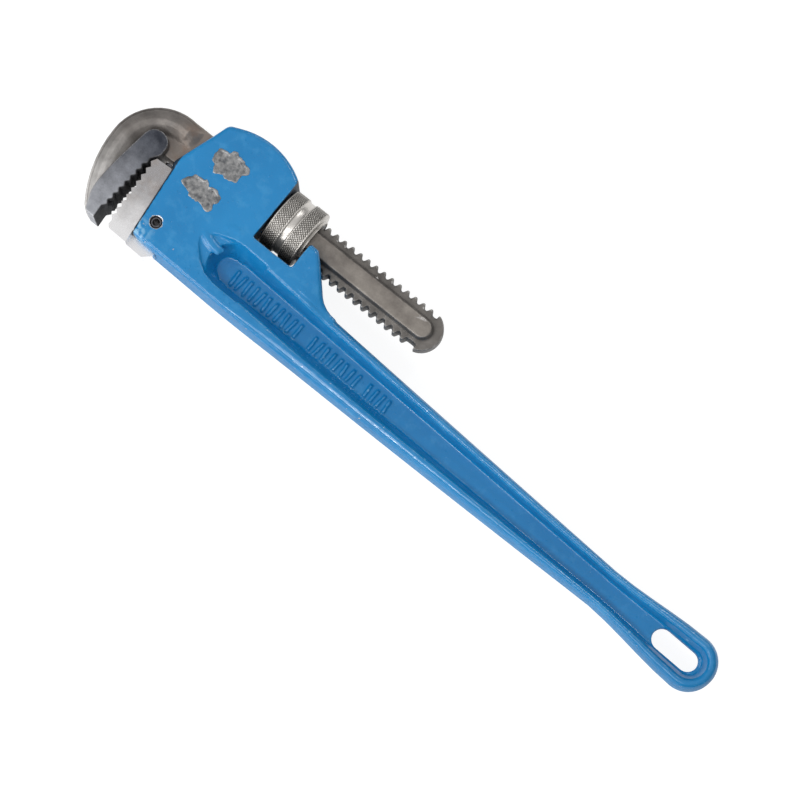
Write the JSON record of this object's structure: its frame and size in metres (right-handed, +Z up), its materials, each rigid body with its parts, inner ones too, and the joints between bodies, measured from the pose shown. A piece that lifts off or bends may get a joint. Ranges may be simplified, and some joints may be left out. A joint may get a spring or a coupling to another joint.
{
  "type": "pipe wrench",
  "caption": "Straight pipe wrench lying on its side: I-section handle with hang slot, pinned heel jaw, and a sprung hook jaw on a threaded shank moved by a knurled nut.",
  "frame": {"origin": "centre of the wrench's length and width, on the plane of the lower cheek that it lies on", "axes": "+X along the handle from the jaws to the hang slot, +Y from the open front of the jaws to the back of the housing, +Z up out of the side that faces up"},
  "size_m": [0.402, 0.0852, 0.034],
  "materials": {
    "blue_enamel": "gloss",
    "bright_steel": "satin",
    "dark_steel": "matte",
    "forged_steel": "satin",
    "nut_steel": "satin",
    "spring_steel": "satin"
  },
  "bodies": {
    "handle": {"handle": "blue_enamel", "heel_jaw": "bright_steel", "heel_jaw_pin": "dark_steel", "coil_spring": "spring_steel"},
    "spring_leaf": {"flat_spring": "spring_steel", "spring_rivet": "spring_steel"},
    "hook_jaw": {"hook_jaw": "forged_steel"},
    "adjusting_nut": {"adjusting_nut": "nut_steel"}
  },
  "joints": [
    {"name": "jaw_rock", "type": "hinge", "parent": "handle", "child": "spring_leaf", "pos_m": [-0.10001, 0.01949, 0.017], "axis": [0, 0, 1], "range_deg": [0, 1.1], "stiffness_Nm_per_rad": 30, "springref_deg": -1.15, "deforming": ["coil_spring"]},
    {"name": "jaw_slide", "type": "slide", "parent": "spring_leaf", "child": "hook_jaw", "axis": [-0.9995, -0.0332, 0], "range_m": [0, 0.056]},
    {"name": "nut_spin", "type": "hinge", "parent": "spring_leaf", "child": "adjusting_nut", "pos_m": [-0.10001, 0.01949, 0.017], "axis": [0.9995, 0.0332, 0], "range_deg": [0, 4034]}
  ],
  "couplings": [
    {"joint": "nut_spin", "follows": "jaw_slide", "rad_per_m": 1256.6}
  ]
}
